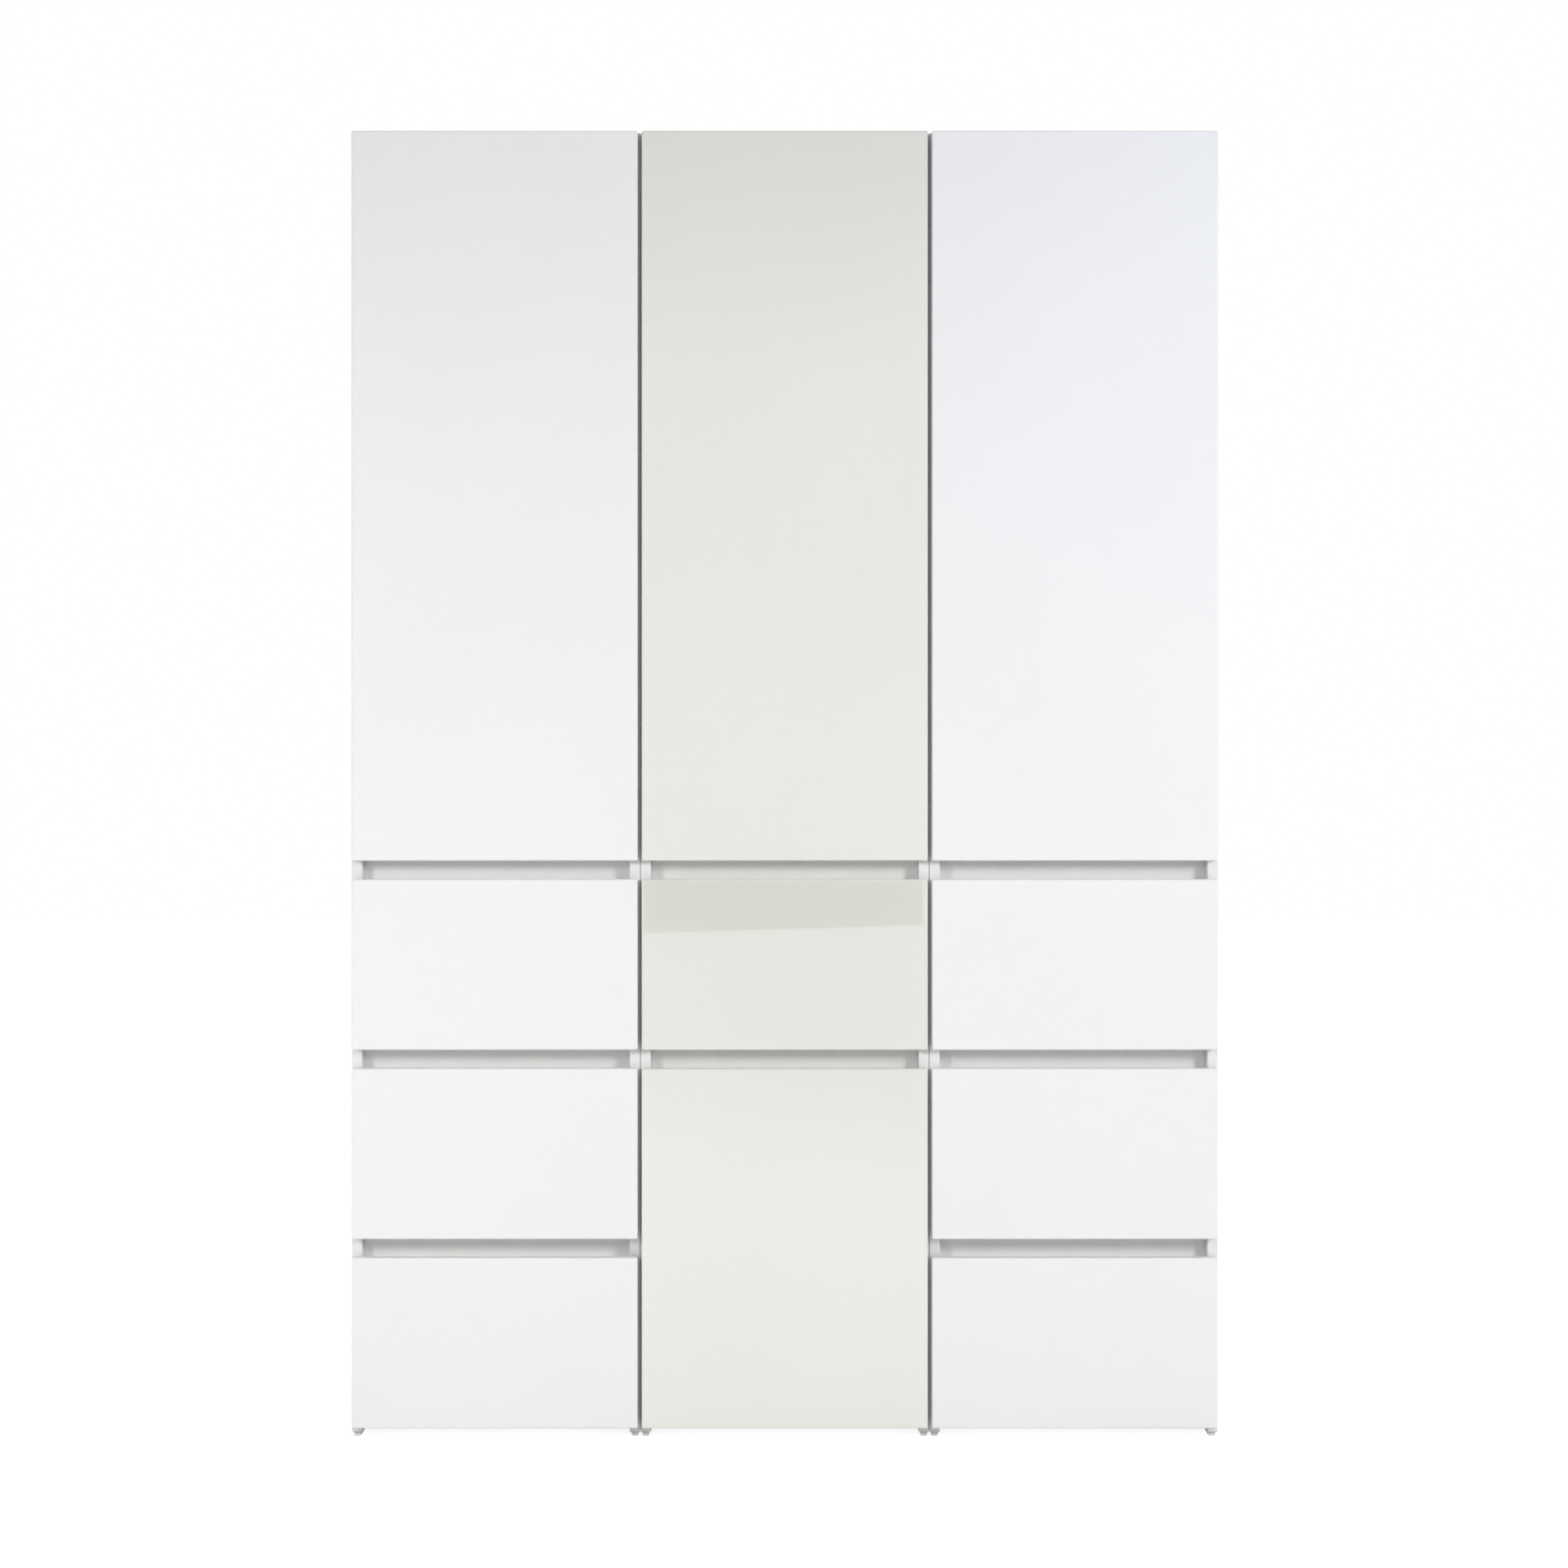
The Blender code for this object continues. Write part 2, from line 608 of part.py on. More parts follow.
def make_hinge_arms(module, finishes, holder):
    """The hinge arms on a side board, each a folded steel arm screwed to its plate, with its link."""
    side = module.hinge_side
    for name, height in hinge_heights().items():
        arm, hollow, fittings = bmesh.new(), bmesh.new(), bmesh.new()
        add_arm(arm, side, height, 0.0)
        add_arm(hollow, side, height, ARM_STEEL)
        add_nose(fittings, side, height)
        add_mounting_plate(fittings, side, height)
        make_piece(f"{module.name}_hinge_arm_{name}", arm, finishes["nickel"], holder,
                   (side * INNER_HALF, Y_CARCASS, height), [(CUT, hollow), (JOIN, fittings)])


def make_shelves(module, finishes, holder):
    """The loose shelves above the divider."""
    for name, bottom in shelf_bottoms(module).items():
        make_board(f"{module.name}_{name}_shelf", (SEAT - INNER_HALF, Y_CARCASS + SHELF_SETBACK, bottom),
                   (INNER_HALF - SEAT, Y_BACK_FACE - SEAT, bottom + BOARD), finishes["white_board"], holder)


def make_rail(module, finishes, holder):
    """The oval clothes rail under the hat shelf, with a socket at each end."""
    y = (Y_CARCASS + Y_BACK_FACE) / 2
    z = shelf_bottoms(module)["hat"] - RAIL_DROP
    end = INNER_HALF - SEAT
    rail, sockets = bmesh.new(), bmesh.new()
    oval = stadium(RAIL_WIDTH / 2, RAIL_HEIGHT / 2, OVAL_STEPS)
    rim = stadium(RAIL_WIDTH / 2 + SOCKET_RIM, RAIL_HEIGHT / 2 + SOCKET_RIM, OVAL_STEPS)
    add_prism(rail, X, shifted(oval, y, z), -end, end)
    for side in (LEFT, RIGHT):
        add_prism(sockets, X, shifted(rim, y, z), side * end, side * (end - SOCKET_LENGTH))
    make_piece(f"{module.name}_clothes_rail", rail, finishes["chrome"], holder, (0, y, z), [(JOIN, sockets)])


def make_module(module, finishes, closet):
    """One module: carcass, grip channels, drawers, door, hinges and interior."""
    holder = make_empty(f"{module.name}_module", (module.x, 0, 0), closet)
    for side in (LEFT, RIGHT):
        make_side(module, side, finishes, holder)
    make_level_boards(module, finishes, holder)
    make_back(module, finishes, holder)
    make_grips(module, finishes, holder)
    for drawer in module.drawers:
        make_drawer(module, drawer, finishes, holder)
    make_door(module, finishes, holder)
    make_hinge_arms(module, finishes, holder)
    make_shelves(module, finishes, holder)
    if module.hanging:
        make_rail(module, finishes, holder)


def main():
    for piece in list(bpy.data.objects):
        bpy.data.objects.remove(piece)
    finishes = make_finishes()
    closet = make_empty("closet", (0, 0, 0), None)
    for module in MODULES:
        make_module(module, finishes, closet)


main()
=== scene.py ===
"""Looks of a closet system of three modules: finishes, small hardware, floor, light and camera.

Units are metres, in the frame of the packed closet: X to the right, Y to the back and Z up.
"""

import math

import bmesh
import bpy
from mathutils import Matrix, Vector


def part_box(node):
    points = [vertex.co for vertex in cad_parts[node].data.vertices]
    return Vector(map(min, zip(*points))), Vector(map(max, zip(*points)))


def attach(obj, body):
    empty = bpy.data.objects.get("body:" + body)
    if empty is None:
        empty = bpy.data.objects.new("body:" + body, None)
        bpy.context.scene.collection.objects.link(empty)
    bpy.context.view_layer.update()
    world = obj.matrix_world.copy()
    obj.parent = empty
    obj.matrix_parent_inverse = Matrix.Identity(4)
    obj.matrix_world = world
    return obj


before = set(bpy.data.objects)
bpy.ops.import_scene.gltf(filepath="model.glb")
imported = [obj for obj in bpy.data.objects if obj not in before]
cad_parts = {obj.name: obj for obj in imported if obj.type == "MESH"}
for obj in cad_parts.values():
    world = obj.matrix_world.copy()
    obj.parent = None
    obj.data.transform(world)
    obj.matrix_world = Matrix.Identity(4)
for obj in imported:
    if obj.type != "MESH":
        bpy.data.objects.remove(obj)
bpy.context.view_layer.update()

# Parts of the closet, by the names of their nodes. A side is -1 for the left and 1 for the right
MODULES = ("left", "centre", "right")
SIDES = {-1: "left", 1: "right"}
HINGE_SIDES = {"left": -1, "centre": -1, "right": 1}
JOINED_SIDES = {"left": (1,), "centre": (-1, 1), "right": (-1,)}
HINGES = ("bottom", "middle", "top")
THREE_DRAWERS = ("lower", "middle", "upper")
DRAWERS = {"left": THREE_DRAWERS, "centre": ("tall", "upper"), "right": THREE_DRAWERS}
SHELVES = {"left": ("hat",), "centre": ("lower", "upper"), "right": ("hat",)}

# Real sizes that the fittings share with the closet's construction
SEAT = 0.0003
RUNNER_ABOVE_FRONT = 0.026
CHANNEL_STEEL = 0.0014
TRACK_STEEL = 0.0012
TRACK_REACH = 0.009
BOX_WALL = 0.015
ROLLER_RADIUS = 0.0057
ROLLER_INSET = 0.016
FIXED_AXLE_HEIGHT = 0.0080
MOVING_AXLE_HEIGHT = 0.0074
GLIDE_HEIGHT = 0.0085
CUP_FROM_EDGE = 0.0225
CUP_RADIUS = 0.0155
CUP_DEPTH = 0.011
CUP_PLATE = 0.001
CUP_SCREW_REACH = 0.024
WING_THICKNESS = 0.0025
WING_SCREW_REACH = 0.0165
PLATE_MIDDLE = 0.038
ADJUSTER_HEIGHT = 0.016
ADJUSTER_REACH = 0.010
SOCKET_LENGTH = 0.0105
PIN_RADIUS = 0.0025

# Places of the small hardware
PIN_FROM_CARCASS_FRONT = 0.065
PIN_FROM_SHELF_REAR = 0.045
HOLE_PITCH = 0.032
HOLES_PER_SIDE_OF_PIN = 5
RUNNER_SCREW_HEIGHT = 0.0200
RUNNER_SCREW_PLACES = (0.037, 0.229, 0.453)
TRACK_SCREW_HEIGHT = 0.0195
TRACK_SCREW_PLACES = (0.060, 0.250, 0.440)
FRONT_SCREW_SPREAD = 0.150
FRONT_SCREW_LEVELS = (0.30, 0.78)
BUMPER_FROM_SIDE = 0.010
BUMPER_FROM_DOOR_END = 0.04
BUMPER_FROM_DRAWER_TOP = 0.03
BACK_SCREW_SPREAD = 0.190
COVER_INSETS = (0.034, 0.068)
BOLT_HEIGHTS = (1.160, 2.080)
BOLT_FROM_FRONT = 0.110
BOLT_FROM_REAR = 0.090

# Directions
TO_BACK = (0, 1, 0)
DOWN = (0, 0, -1)

# How far a face's normal points along an axis, for faces that mostly or squarely look that way
MOSTLY = 0.5
SQUARELY = 0.95

# Tolerances of the sorting of faces and of the shading
SAME_POINT = 0.00001
SAME_PLANE = 0.0001
GROOVE_MARGIN = 0.001
SHARP_ANGLE = math.radians(35)

# Camera: the width that the picture spans at the plane of the fronts, how far off it stands, the X and Z
# of its middle, and its sensor in millimetres
VIEW_WIDTH = 2.700
VIEW_DISTANCE = 4.000
VIEW_CENTRE = (-0.0013, 1.1302)
SENSOR_WIDTH = 36.0

# Colours of light
OPAQUE = 1.0
NEUTRAL = (1.0, 1.0, 1.0)
SKY = (0.3, 0.5, 1.0)
WHITE = (*NEUTRAL, OPAQUE)

# Strength of the even light, and the floor's half size, glow and reflectance
AMBIENT = 0.39
FLOOR_HALF_SIZE = 15.0
FLOOR_GLOW = 0.83
FLOOR_REFLECTANCE = 0.88

# The share of the floor's glow that the gloss of the fronts shows
FLOOR_IN_GLOSS = 0.6

# The ceiling as the gloss shows it: how steeply the view rises where it starts and ends to darken,
# and how bright it is from there on
CEILING_RISE = (0.17, 0.32)
CEILING_IN_GLOSS = 0.45

# The card that the middle drawer mirrors, whose lower edge rises to the right
CARD_HALF_WIDTH = 0.49
CARD_LOWER_LEFT = 0.620
CARD_LOWER_RIGHT = 0.650
CARD_TOP = 0.827
CARD_COLOUR = (0.09, 0.13, 0.0, OPAQUE)

# Ranges of values in textures: nearly all of a noise, and the whole scale
NOISE_RANGE = (0.3, 0.7)
UNIT_RANGE = (0.0, 1.0)

# The factor that Blender's wave texture puts on its coordinates
WAVE_FACTOR = 20

# Places of the colour sockets among those of a Mix node
MIX_INPUTS = (0, 6, 7)
MIX_OUTPUT = 2


def module_middle(module):
    """The place of a module's middle along X."""
    low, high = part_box(f"{module}_floor")
    return (low.x + high.x) / 2


def inner_face(module, side):
    """The place along X of the inner face of a module's side board."""
    low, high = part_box(f"{module}_floor")
    return high.x + SEAT if side > 0 else low.x - SEAT


def runner_bottom(module, drawer):
    """The underside of the runner channels that carry a drawer."""
    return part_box(f"{module}_{drawer}_drawer_front")[0].z + RUNNER_ABOVE_FRONT


def hinge_height(module, hinge):
    """The height of one hinge of a door."""
    low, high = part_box(f"{module}_hinge_arm_{hinge}")
    return (low.z + high.z) / 2


def cup_places(module):
    """The middles of a door's hinge cups, as X and Z."""
    low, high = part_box(f"{module}_door")
    x = high.x - CUP_FROM_EDGE if HINGE_SIDES[module] > 0 else low.x + CUP_FROM_EDGE
    return [(x, hinge_height(module, hinge)) for hinge in HINGES]


CARCASS_LOW, CARCASS_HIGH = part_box("left_left_side")
Y_CARCASS, Y_REAR = CARCASS_LOW.y, CARCASS_HIGH.y
FRONT_LOW, FRONT_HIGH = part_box("left_upper_drawer_front")
Y_FRONT, Y_FRONT_BACK = FRONT_LOW.y, FRONT_HIGH.y
BOX_LOW, BOX_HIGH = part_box("left_upper_drawer_box")
BOX_HALF = (BOX_HIGH.x - BOX_LOW.x) / 2 - TRACK_REACH
BACK_LOW, BACK_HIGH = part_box("left_back")
DIVIDER_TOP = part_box("left_divider")[1].z


def feed(tree, socket, value):
    """Links a socket to another one, or sets its value."""
    if isinstance(value, bpy.types.NodeSocket):
        tree.links.new(value, socket)
    else:
        socket.default_value = value


def feed_in_order(tree, node, *values):
    """Feeds the first sockets of a node, each with a value or a link."""
    for socket, value in zip(node.inputs, values):
        feed(tree, socket, value)


def add_node(tree, kind, **sockets):
    """A new shader node, with values or links for its sockets."""
    node = tree.nodes.new(kind)
    for socket, value in sockets.items():
        feed(tree, node.inputs[socket.replace("_", " ")], value)
    return node


class Surface:
    """A procedural material: a Principled shader fed by textures laid in the closet's own frame."""

    def __init__(self, name, sockets):
        self.material = bpy.data.materials.new(name)
        self.material.use_nodes = True
        self.tree = self.material.node_tree
        self.shader = self.tree.nodes["Principled BSDF"]
        for socket, value in sockets.items():
            self.put(socket, value)
        self.place = self.add("ShaderNodeTexCoord").outputs["Object"]
        self.normal = None

    def add(self, kind, **sockets):
        """A new node of this material."""
        return add_node(self.tree, kind, **sockets)

    def put(self, socket, value):
        """Feeds a socket of the shader."""
        feed(self.tree, self.shader.inputs[socket], value)

    def stretched(self, stretch):
        """The texture place, with features drawn out along each axis by a factor."""
        if stretch is None:
            return self.place
        scale = tuple(1 / factor for factor in stretch)
        return self.add("ShaderNodeMapping", Vector=self.place, Scale=scale).outputs["Vector"]

    def noise(self, size, stretch=None, detail=2.0):
        """A noise with features of about one size."""
        node = self.add("ShaderNodeTexNoise", Vector=self.stretched(stretch), Scale=1 / size, Detail=detail)
        return self.spread(node.outputs["Fac"], NOISE_RANGE, UNIT_RANGE)

    def cells(self, size, stretch=None):
        """Random values, one for each cell of about one size."""
        node = self.add("ShaderNodeTexVoronoi", Vector=self.stretched(stretch), Scale=1 / size)
        return self.add("ShaderNodeSeparateColor", Color=node.outputs["Color"]).outputs["Red"]

    def threads(self, size, axis):
        """Fine threads that follow each other along one axis."""
        scale = math.tau / WAVE_FACTOR / size
        node = self.add("ShaderNodeTexWave", Vector=self.place, Scale=scale, Distortion=0.4)
        node.bands_direction = axis
        return node.outputs["Fac"]

    def spread(self, source, source_range, result_range):
        """Maps a value from one range to another."""
        source_low, source_high = source_range
        low, high = result_range
        node = self.add("ShaderNodeMapRange", Value=source, From_Min=source_low, From_Max=source_high,
                        To_Min=low, To_Max=high)
        return node.outputs["Result"]

    def colour(self, pattern, dark, light):
        """Lets the colour wander between two values."""
        node = self.add("ShaderNodeMix")
        node.data_type = "RGBA"
        for index, value in zip(MIX_INPUTS, (pattern, (*dark, OPAQUE), (*light, OPAQUE))):
            feed(self.tree, node.inputs[index], value)
        self.put("Base Color", node.outputs[MIX_OUTPUT])

    def roughness(self, pattern, low, high):
        """Lets the roughness wander between two values."""
        self.put("Roughness", self.spread(pattern, UNIT_RANGE, (low, high)))

    def bump(self, pattern, depth):
        """Raises the surface by up to a depth, on top of earlier bumps."""
        node = self.add("ShaderNodeBump", Height=pattern, Distance=depth)
        if self.normal is not None:
            feed(self.tree, node.inputs["Normal"], self.normal)
        self.normal = node.outputs["Normal"]
        self.put("Normal", self.normal)


def white_lacquer():
    """Satin white lacquer of the outer fronts."""
    surface = Surface("white_lacquer", {"Specular IOR Level": 0.5})
    surface.colour(surface.noise(0.30, detail=0.0), dark=(0.888, 0.888, 0.888), light=(0.896, 0.896, 0.897))
    surface.roughness(surface.noise(0.09, detail=0.0), low=0.29, high=0.32)
    surface.bump(surface.noise(0.0035, detail=0.0), depth=0.000003)
    return surface.material


def cream_lacquer():
    """Cream lacquer of the middle fronts, polished to a high gloss."""
    surface = Surface("cream_lacquer", {"Coat Weight": 1.0, "Coat Roughness": 0.015, "Coat IOR": 2.0})
    surface.colour(surface.noise(0.35, detail=0.0), dark=(0.780, 0.784, 0.730), light=(0.796, 0.800, 0.748))
    surface.roughness(surface.noise(0.08, detail=0.0), low=0.05, high=0.09)
    surface.bump(surface.noise(0.0060, detail=0.0), depth=0.000002)
    return surface.material


def white_melamine():
    """Matt white melamine of the boards, with a fine pearl in its face."""
    surface = Surface("white_melamine", {"Specular IOR Level": 0.4})
    surface.colour(surface.noise(0.0025), dark=(0.835, 0.835, 0.830), light=(0.865, 0.865, 0.860))
    surface.roughness(surface.noise(0.012), low=0.42, high=0.54)
    surface.bump(surface.noise(0.0011, detail=3.0), depth=0.00003)
    return surface.material


def edge_band():
    """White plastic band on the front edges of the boards, rolled along the edge."""
    surface = Surface("edge_band", {"Specular IOR Level": 0.45})
    surface.colour(surface.noise(0.020, (1, 1, 6)), dark=(0.815, 0.815, 0.811), light=(0.838, 0.838, 0.834))
    surface.roughness(surface.noise(0.004, (1, 1, 30)), low=0.30, high=0.40)
    surface.bump(surface.noise(0.0008, (1, 1, 12)), depth=0.00001)
    return surface.material


def chipboard():
    """Raw chipboard at the edges that nobody sees from the front."""
    surface = Surface("chipboard", {"Specular IOR Level": 0.2})
    flakes = surface.cells(0.0022, (1, 1, 2.6))
    surface.colour(flakes, dark=(0.330, 0.225, 0.130), light=(0.640, 0.500, 0.335))
    surface.roughness(flakes, low=0.78, high=0.92)
    surface.bump(surface.cells(0.0015, (1, 1, 3)), depth=0.00020)
    return surface.material


def hardboard():
    """Brown raw face at the rear of the thin backs, pressed on a fine screen."""
    surface = Surface("hardboard", {"Specular IOR Level": 0.25})
    fibres = surface.noise(0.0030, (4, 1, 1), detail=5.0)
    surface.colour(fibres, dark=(0.205, 0.120, 0.066), light=(0.310, 0.195, 0.115))
    surface.roughness(surface.noise(0.02), low=0.70, high=0.86)
    for axis in ("X", "Z"):
        surface.bump(surface.threads(0.0012, axis), depth=0.00006)
    return surface.material


def back_foil():
    """Printed white face of the thin backs, inside the closet."""
    surface = Surface("back_foil", {"Specular IOR Level": 0.35})
    surface.colour(surface.noise(0.10), dark=(0.800, 0.800, 0.793), light=(0.830, 0.830, 0.824))
    surface.roughness(surface.noise(0.010), low=0.52, high=0.64)
    surface.bump(surface.noise(0.0016, (1, 1, 5)), depth=0.00003)
    return surface.material


def powder_coat():
    """White powder coat of the grip channels, with its fine orange peel."""
    surface = Surface("powder_coat", {"Specular IOR Level": 0.5})
    surface.colour(surface.noise(0.040), dark=(0.862, 0.869, 0.850), light=(0.884, 0.890, 0.872))
    surface.roughness(surface.noise(0.006), low=0.34, high=0.46)
    surface.bump(surface.noise(0.0009), depth=0.00003)
    return surface.material


def sawn_aluminium():
    """Bare cut ends of the grip channels."""
    surface = Surface("sawn_aluminium", {"Metallic": 1.0})
    surface.colour(surface.noise(0.002), dark=(0.62, 0.62, 0.62), light=(0.74, 0.74, 0.75))
    surface.roughness(surface.noise(0.0006, (1, 20, 1)), low=0.30, high=0.55)
    surface.bump(surface.noise(0.0004, (1, 20, 1)), depth=0.00003)
    return surface.material


def linen_foil():
    """Pale foil of the drawer boxes, embossed like linen."""
    surface = Surface("linen_foil", {"Specular IOR Level": 0.35})
    surface.colour(surface.noise(0.0020, (1, 6, 1)), dark=(0.770, 0.770, 0.760), light=(0.815, 0.815, 0.806))
    surface.roughness(surface.noise(0.01), low=0.46, high=0.58)
    for axis in ("Y", "Z", "X"):
        surface.bump(surface.threads(0.0011, axis), depth=0.00004)
    return surface.material


def drawer_bottom():
    """White printed board of the drawer bottoms."""
    surface = Surface("drawer_bottom", {"Specular IOR Level": 0.35})
    surface.colour(surface.noise(0.05), dark=(0.785, 0.785, 0.776), light=(0.820, 0.820, 0.812))
    surface.roughness(surface.noise(0.008), low=0.50, high=0.62)
    surface.bump(surface.noise(0.0014, (3, 1, 1)), depth=0.00004)
    return surface.material


def runner_steel():
    """White epoxy coat of the runners."""
    surface = Surface("runner_steel", {"Specular IOR Level": 0.5})
    surface.colour(surface.noise(0.015), dark=(0.80, 0.80, 0.785), light=(0.84, 0.84, 0.825))
    surface.roughness(surface.noise(0.004, (1, 8, 1)), low=0.24, high=0.36)
    surface.bump(surface.noise(0.0012), depth=0.00003)
    return surface.material


def nylon():
    """Pale nylon of the rollers, a little polished where they run."""
    surface = Surface("nylon", {"Specular IOR Level": 0.5, "Subsurface Weight": 0.1,
                                "Subsurface Scale": 0.002})
    surface.colour(surface.noise(0.003), dark=(0.74, 0.72, 0.66), light=(0.80, 0.785, 0.73))
    surface.roughness(surface.noise(0.0015), low=0.28, high=0.44)
    surface.bump(surface.noise(0.0006), depth=0.00002)
    return surface.material


def nickel():
    """Nickel plating of hinges, shelf pins and connector bolts, with drawn lines in the steel."""
    surface = Surface("nickel", {"Metallic": 1.0})
    surface.colour(surface.noise(0.006), dark=(0.600, 0.590, 0.565), light=(0.700, 0.690, 0.665))
    surface.roughness(surface.noise(0.0012, (1, 14, 1)), low=0.20, high=0.36)
    surface.bump(surface.noise(0.0005, (1, 25, 1)), depth=0.000012)
    return surface.material


def chrome():
    """Polished chrome of the clothes rails."""
    surface = Surface("chrome", {"Metallic": 1.0})
    surface.colour(surface.noise(0.05), dark=(0.76, 0.765, 0.775), light=(0.80, 0.803, 0.81))
    surface.roughness(surface.noise(0.002, (40, 1, 1)), low=0.07, high=0.14)
    surface.bump(surface.noise(0.0008, (60, 1, 1)), depth=0.000004)
    return surface.material


def zinc():
    """Zinc plating of screws and of the rail sockets, slightly uneven."""
    surface = Surface("zinc", {"Metallic": 1.0})
    surface.colour(surface.noise(0.0015), dark=(0.56, 0.57, 0.59), light=(0.70, 0.71, 0.73))
    surface.roughness(surface.noise(0.0010), low=0.24, high=0.42)
    surface.bump(surface.noise(0.0004), depth=0.00001)
    return surface.material


def white_plastic():
    """Moulded white plastic of the glides and the cover caps."""
    surface = Surface("white_plastic", {"Specular IOR Level": 0.5})
    surface.colour(surface.noise(0.004), dark=(0.80, 0.80, 0.79), light=(0.84, 0.84, 0.83))
    surface.roughness(surface.noise(0.0015), low=0.32, high=0.44)
    surface.bump(surface.noise(0.0006), depth=0.00002)
    return surface.material


def silicone():
    """Milky silicone of the bumpers behind the fronts."""
    surface = Surface("silicone", {"Subsurface Weight": 0.4, "Subsurface Scale": 0.002})
    surface.colour(surface.noise(0.002), dark=(0.72, 0.73, 0.73), light=(0.80, 0.81, 0.81))
    surface.roughness(surface.noise(0.001), low=0.22, high=0.34)
    surface.bump(surface.noise(0.0008), depth=0.00001)
    return surface.material


def painted_hole_shade():
    """Painted shade: near-black chipboard on the shallow floor of a drilled hole, for the shade deep in the
    hole.
    """
    surface = Surface("painted_hole_shade", {"Specular IOR Level": 0.1})
    surface.colour(surface.cells(0.0008), dark=(0.020, 0.015, 0.010), light=(0.075, 0.055, 0.038))
    surface.roughness(surface.noise(0.0008), low=0.85, high=0.98)
    surface.bump(surface.cells(0.0008), depth=0.0002)
    return surface.material


MATERIAL_MAKERS = (
    white_lacquer, cream_lacquer, white_melamine, edge_band, chipboard, hardboard, back_foil, powder_coat,
    sawn_aluminium, linen_foil, drawer_bottom, runner_steel, nylon, nickel, chrome, zinc, white_plastic,
    silicone, painted_hole_shade,
)
FINISHES = {maker.__name__: maker() for maker in MATERIAL_MAKERS}


def shade(node):
    """Shades a CAD node smoothly across its rounded edges, with all its points in place."""
    mesh = node.data
    for name in ("custom_normal", "sharp_edge"):
        attribute = mesh.attributes.get(name)
        if attribute is not None:
            mesh.attributes.remove(attribute)
    mesh.shade_smooth()
    weld = node.modifiers.new("Weld", "WELD")
    weld.merge_threshold = SAME_POINT
    split = node.modifiers.new("Sharp edges", "EDGE_SPLIT")
    split.split_angle = SHARP_ANGLE
    node.modifiers.new("Face normals", "WEIGHTED_NORMAL")


def dress(name, choose):
    """Gives each face of a CAD node the finish that choose(centre, normal) names."""
    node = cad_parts[name]
    mesh = node.data
    chosen = [choose(face.center, face.normal) for face in mesh.polygons]
    used = sorted(set(chosen))
    mesh.materials.clear()
    for finish in used:
        mesh.materials.append(FINISHES[finish])
    for face, finish in zip(mesh.polygons, chosen):
        face.material_index = used.index(finish)
    shade(node)


def near_axle(centre, axle):
    """Whether a face belongs to a roller on an axle along X."""
    y, z = axle
    return math.hypot(centre.y - y, centre.z - z) < ROLLER_RADIUS + SAME_PLANE


def dress_side(module, side):
    """A side board: melamine, edge band, raw edges, glides, runners and shelf pins."""
    face_x = inner_face(module, side)
    axle_y = Y_CARCASS + ROLLER_INSET
    axles = [(axle_y, runner_bottom(module, drawer) + FIXED_AXLE_HEIGHT) for drawer in DRAWERS[module]]

    def choose(centre, normal):
        inside = side * (face_x - centre.x)
        if inside > SAME_PLANE and centre.z > DIVIDER_TOP:
            return "nickel"
        if inside > SAME_PLANE:
            is_roller = inside > 2 * CHANNEL_STEEL and any(near_axle(centre, axle) for axle in axles)
            return "nylon" if is_roller else "runner_steel"
        if centre.z < GLIDE_HEIGHT - SAME_PLANE:
            return "white_plastic"
        if normal.y < -MOSTLY and centre.y < Y_CARCASS + SAME_PLANE:
            return "edge_band"
        by_back = BACK_LOW.y - GROOVE_MARGIN < centre.y < BACK_HIGH.y + GROOVE_MARGIN
        in_groove = inside < -SAME_PLANE and by_back and side * normal.x < MOSTLY
        on_rear = normal.y > MOSTLY and centre.y > Y_REAR - SAME_PLANE
        if on_rear or normal.z < -MOSTLY or in_groove:
            return "chipboard"
        return "white_melamine"

    dress(f"{module}_{SIDES[side]}_side", choose)


def board_finish(centre, normal):
    """A board between the sides: a band at its front edge, raw edges elsewhere."""
    if normal.y < -MOSTLY:
        return "edge_band"
    if normal.y > MOSTLY or abs(normal.x) > MOSTLY:
        return "chipboard"
    return "white_melamine"


def back_finish(centre, normal):
    """A thin back: white inside, raw at the rear."""
    return "back_foil" if normal.y < -MOSTLY else "hardboard"


def grip_finish(centre, normal):
    """A grip channel: powder coat, with bare cut ends."""
    return "sawn_aluminium" if abs(normal.x) > SQUARELY else "powder_coat"


def hinge_finish(centre, normal):
    """A hinge arm with its plate: nickel all over."""
    return "nickel"


def rail_finish(name):
    """A clothes rail: chrome, with zinc sockets at its ends."""
    low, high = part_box(name)

    def choose(centre, normal):
        from_end = min(centre.x - low.x, high.x - centre.x)
        return "zinc" if from_end < SOCKET_LENGTH else "chrome"

    return choose


def front_finish(lacquer):
    """A drawer front: lacquer, with a matt inner face."""
    def choose(centre, normal):
        return "white_melamine" if normal.y > SQUARELY else lacquer

    return choose


def dress_door(module, lacquer):
    """A door: a front like a drawer's, with nickel hinge cups and cup plates."""
    cups = cup_places(module)
    plain = front_finish(lacquer)

    def choose(centre, normal):
        behind = centre.y - Y_FRONT_BACK
        in_cup = any(math.hypot(centre.x - x, centre.z - z) < CUP_RADIUS + SAME_PLANE for x, z in cups)
        is_deep = -CUP_DEPTH - SAME_PLANE < behind < -SAME_PLANE
        if behind > SAME_PLANE or (in_cup and is_deep):
            return "nickel"
        return plain(centre, normal)

    dress(f"{module}_door", choose)


